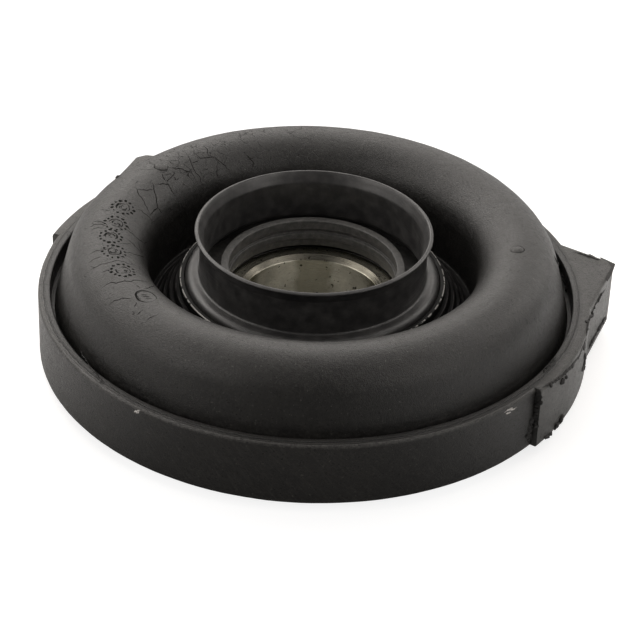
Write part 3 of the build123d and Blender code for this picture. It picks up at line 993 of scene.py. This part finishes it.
def gather(name, parts, material, sharp=40):
    """One piece on the cushion from several closed lumps of vertices and faces, in millimetres."""
    vertices, faces = [], []
    for some_vertices, some_faces in parts:
        base = len(vertices)
        vertices += [held(Vector(v) * MM) for v in some_vertices]
        faces += [tuple(base + i for i in face) for face in some_faces]
    mesh = new_mesh(name, vertices, faces)
    smooth(mesh, sharp)
    link(name, mesh, material, "support")


def traced(pixels, step, wander):
    """Places on the cushion, a point and a normal each, along a line of the photograph."""
    spots = []
    for first, last in zip(pixels, pixels[1:]):
        count = max(1, round(math.dist(first, last) / step))
        for index in range(count):
            share = index / count
            spots.append((first[0] + (last[0] - first[0]) * share, first[1] + (last[1] - first[1]) * share))
    spots.append(pixels[-1])
    places = []
    for x, y in spots:
        here = Vector((x * 0.31, y * 0.31, 0))
        places.append(on_skin((x + wander * noise.noise(here),
                               y + wander * noise.noise(here + Vector((7, 7, 7))))))
    return places


def beside(point, normal, across, along):
    """The cushion's point and normal a little way from another, round the tube and over it."""
    side = Vector((-point.y, point.x, 0)).normalized()
    place, facing, _, _ = skin.find_nearest((point + side * across + normal.cross(side) * along) * MM)
    return place / MM, facing


def arc_on_skin(centre, facing, radius, first, last, width, squash=1.0):
    """A thin raised arc about a point of the cushion, between two angles."""
    count = max(6, round(abs(last - first) * radius / 0.25))
    places = []
    for index in range(count + 1):
        angle = first + (last - first) * index / count
        wander = noise.noise(centre + Vector((math.cos(angle), math.sin(angle), radius)) * 2)
        reach = radius * (1 + 0.1 * wander)
        places.append(beside(centre, facing, reach * math.cos(angle), squash * reach * math.sin(angle)))
    return ribbon(places, width, LINE_HEIGHT)


def dome(point, normal, radius, height, around=10, levels=3, roughness=0.0):
    """A low closed bump, uneven where asked."""
    side = normal.orthogonal().normalized()
    other = normal.cross(side)
    vertices, faces = [], []
    for level in range(levels):
        share = math.radians(90 * level / levels)
        for index in range(around):
            angle = 2 * math.pi * index / around
            out = side * math.cos(angle) + other * math.sin(angle)
            vertices.append(point + out * radius * math.cos(share) + normal * height * math.sin(share))
    top = len(vertices)
    vertices += [point + normal * height, point - normal * height * 0.6]
    last = (levels - 1) * around
    for index in range(around):
        following = (index + 1) % around
        for base in range(0, last, around):
            above = base + around
            faces.append((base + index, base + following, above + following, above + index))
        faces.append((last + index, last + following, top))
        faces.append((following, index, top + 1))
    if roughness:
        vertices = [v + (v - point) * roughness * noise.noise(v * 2.3) for v in vertices]
    return vertices, faces


def make_cracks(material):
    """The cracks of the photograph, some with finer hair cracks that leave them."""
    parts = []
    for pixels in CRACKS:
        parts.append(ribbon(traced(pixels, 1.0, 0.8), rng.uniform(0.15, 0.25), LINE_HEIGHT))
        for _ in range(rng.randint(0, 2)):
            x, y = rng.choice(pixels)
            turn = rng.uniform(0, 2 * math.pi)
            reach = rng.uniform(2.0, 5.0)
            end = (x + reach * math.cos(turn), y + reach * math.sin(turn) * 0.6)
            parts.append(ribbon(traced([(x, y), end], 0.9, 0.8), 0.12, 0.02))
    gather("cushion_cracks", parts, material)


def make_dials(material):
    """Five small date dials: a circle of dots round broken rings."""
    parts = []
    for pixel in DIALS:
        centre, facing = on_skin(pixel)
        start = rng.uniform(0, 2 * math.pi)
        for index in range(DIAL_DOTS):
            angle = 2 * math.pi * index / DIAL_DOTS + start
            reach = DIAL_R * (1 + 0.07 * rng.uniform(-1, 1))
            point, normal = beside(centre, facing, reach * math.cos(angle), reach * math.sin(angle))
            parts.append(dome(point, normal, rng.uniform(0.26, 0.42), 0.04, roughness=0.6))
        for radius in DIAL_RINGS:
            for _ in range(2):
                first = rng.uniform(0, 2 * math.pi)
                last = first + rng.uniform(1.0, 2.8)
                parts.append(arc_on_skin(centre, facing, radius, first, last, rng.uniform(0.2, 0.36)))
    gather("cushion_date_dials", parts, material)


def make_oval_mark(material):
    """A plain moulded oval beside the dials, with short strokes inside it."""
    centre, facing = on_skin(OVAL_MARK)
    parts = [arc_on_skin(centre, facing, 2.4, 0.2, 6.4, 0.34, 0.85),
             arc_on_skin(centre, facing, 2.05, 2.0, 5.0, 0.2, 0.85)]
    for start in (-0.9, -0.2, 0.6):
        stroke = [beside(centre, facing, start + 0.7 * step / 6, -0.7 + 1.3 * step / 6) for step in range(7)]
        parts.append(ribbon(stroke, 0.3, LINE_HEIGHT))
    gather("cushion_oval_mark", parts, material)


def make_pips(material, pip_shadow_material):
    """Two low round pips, one on either side of the tube, with a dark arc at one side of their foot as a
    painted shadow.
    """
    parts, pip_shadows = [], []
    for turn, tilt in PIPS:
        point, normal = tube_frame(turn, tilt)
        parts.append(dome(point - normal * 0.12, normal, PIP_R, 0.42, 36, 8))
        # A dark arc round part of each pip's foot: painted shadow.
        pip_shadows.append(arc_on_skin(point, normal, PIP_R + 0.05, -2.9, 0.6, 0.2))
    gather("cushion_pip_painted_shadows", pip_shadows, pip_shadow_material)
    gather("cushion_pips", parts, material, 60)


def make_flash(material):
    """Flash and torn rubber along the rim, the right pad and the ears."""
    parts = [seam(pixels, width, height) for pixels, width, height in SEAMS]
    for pixel, radius in LUMPS:
        point, normal = on_skin(pixel)
        parts.append(dome(point, normal, radius, radius * 0.7, 14, 5, 0.6))
    parts += [fin(pixels, RIM_TOP - 0.05) for pixels in FINS]
    gather("cushion_flash", parts, material)


def make_scuffs(material):
    """Pale scuffs on the rim's edge."""
    parts = []
    for pixels in SCUFFS:
        parts.append(ribbon(traced(pixels, 0.7, 0.6), rng.uniform(0.3, 0.5), LINE_HEIGHT))
    gather("rim_scuffs", parts, material)


# Set, light and camera


def make_floor():
    """A wide pale floor that fades into the white surroundings and can't be seen from below.

    It keeps no light from the lamp below, so the underside has its form in a view from there.
    """
    reach = FLOOR_REACH * MM
    corners = [(x * reach, y * reach, FLOOR_Z * MM) for x, y in ((-1, -1), (1, -1), (1, 1), (-1, 1))]
    mesh = new_mesh("floor", corners, [(0, 1, 2, 3)])
    floor = bpy.data.objects.new("floor", mesh)
    bpy.context.scene.collection.objects.link(floor)
    n = Nodes(bpy.data.materials.new("floor_paper"))
    x, y, _ = n.apart(n.spot(-math.radians(CAMERA_AZIMUTH)))
    aside, away = n.math("ABSOLUTE", x), n.math("ABSOLUTE", y)
    pale = n.ramp(n.math("MULTIPLY_ADD", away, -0.7, aside), 0, 55, 0.28, 0.75)
    pale = n.math("MAXIMUM", pale, n.ramp(n.math("ADD", away, aside), 45, 30, 0.0, 0.8))
    seen = n.add("ShaderNodeLightPath", output="Is Camera Ray")
    mirrored = n.add("ShaderNodeLightPath", output="Is Glossy Ray")
    beyond = n.math("ADD", n.ramp(x, 25, 75, 0.0, 0.32), n.ramp(x, -25, -75, 0.0, 0.12))
    glow = n.times(seen, n.math("MULTIPLY_ADD", pale, -0.6, 1.02))
    glow = n.add("ShaderNodeEmission", {"Strength": n.math("MULTIPLY_ADD", mirrored, beyond, glow)})
    lit = n.add("ShaderNodeAddShader", {0: n.shader(pale, 0.9, specular=0.1), 1: glow})
    clear = n.add("ShaderNodeBsdfTransparent")
    from_below = n.add("ShaderNodeNewGeometry", output="Backfacing")
    mesh.materials.append(n.done(n.add("ShaderNodeMixShader", {0: from_below, 1: lit, 2: clear})))
    floor.visible_shadow = False


def make_world():
    """White behind the object, and a plain soft surround that lights it."""
    n = Nodes(bpy.data.worlds.new("surround"), "ShaderNodeOutputWorld")
    seen = n.add("ShaderNodeLightPath", output="Is Camera Ray")
    light = n.add("ShaderNodeBackground", {"Color": (0.5, 0.5, 0.5), "Strength": 0.12})
    white = n.add("ShaderNodeBackground", {"Color": (1, 1, 1), "Strength": 1.0})
    bpy.context.scene.world = n.done(n.add("ShaderNodeMixShader", {0: seen, 1: light, 2: white}))


def make_softbox(name, turn_left, elevation, power):
    """A square soft lamp aimed at the object from a direction seen from the camera."""
    turn = math.radians(CAMERA_AZIMUTH + 90 + turn_left)
    rise = math.radians(elevation)
    towards = Vector((math.cos(turn) * math.cos(rise), math.sin(turn) * math.cos(rise), math.sin(rise)))
    lamp = bpy.data.lights.new(name, "AREA")
    lamp.shape = "SQUARE"
    lamp.size = LAMP_SIZE * MM
    lamp.energy = power
    lamp.color = LAMP_TINT
    holder = bpy.data.objects.new(name, lamp)
    holder.location = (Vector(LAMP_TARGET) + towards * LAMP_DISTANCE) * MM
    holder.rotation_euler = towards.to_track_quat("Z", "Y").to_euler()
    holder.visible_camera = False
    bpy.context.scene.collection.objects.link(holder)


def make_camera():
    """The camera at the photograph's place and angle."""
    right, up, back = photo_axes()
    camera = bpy.data.cameras.new("camera")
    camera.lens = CAMERA_LENS
    camera.sensor_width = SENSOR_WIDTH
    camera.clip_start = 0.01
    camera.clip_end = 20
    holder = bpy.data.objects.new("camera", camera)
    axes = Matrix((right, up, back)).transposed()
    holder.matrix_world = Matrix.Translation(Vector(CAMERA_PLACE) * MM) @ axes.to_4x4()
    bpy.context.scene.collection.objects.link(holder)
    bpy.context.scene.camera = holder


bpy.context.scene.view_settings.view_transform = "Standard"

mottled = {name: mottled_material(name, **values) for name, values in MOTTLED.items()}
dark_marks = mottled["cushion_marks"]
cushion_rubber = cushion_material()
race_steel = race_material()
# The carrier's paint is darker and duller than the collar's: painted shade in the narrow gap beside the
# collar.
carrier_steel = painted_steel_material(
    "carrier_steel", (0.004, 0.004, 0.004), (0.010, 0.010, 0.009), 0.5, 0.65, 0.15)
collar_steel = painted_steel_material(
    "collar_steel", (0.015, 0.0145, 0.0148), (0.042, 0.041, 0.040), 0.38, 0.52, 0.7)

cushion_skin = make_cushion(cushion_rubber, trough_painted_shade_material())
skin = BVHTree.FromPolygons([v.co for v in cushion_skin.data.vertices],
                            [p.vertices for p in cushion_skin.data.polygons])
make_collar(collar_steel)
make_carrier(carrier_steel)
make_shaft_seal(mottled["seal_rubber"])
make_inner_race(race_steel)
make_bearing_seals(mottled["bearing_seal"])
make_cracks(dark_marks)
make_dials(dark_marks)
make_oval_mark(dark_marks)
make_pips(cushion_rubber, dark_marks)
make_flash(mottled["torn_rubber"])
make_scuffs(mottled["pale_scuffs"])

# The solids that no piece takes the place of, by how their names start
finishes = {"outer_race": race_steel, "cage_": mottled["cage_steel"], "ball_": mottled["ball_steel"]}
for node_name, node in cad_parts.items():
    for start, finish in finishes.items():
        if node_name.startswith(start):
            node.data.materials.clear()
            node.data.materials.append(finish)

make_floor()
make_world()
for lamp in LAMPS:
    make_softbox(*lamp)
make_camera()
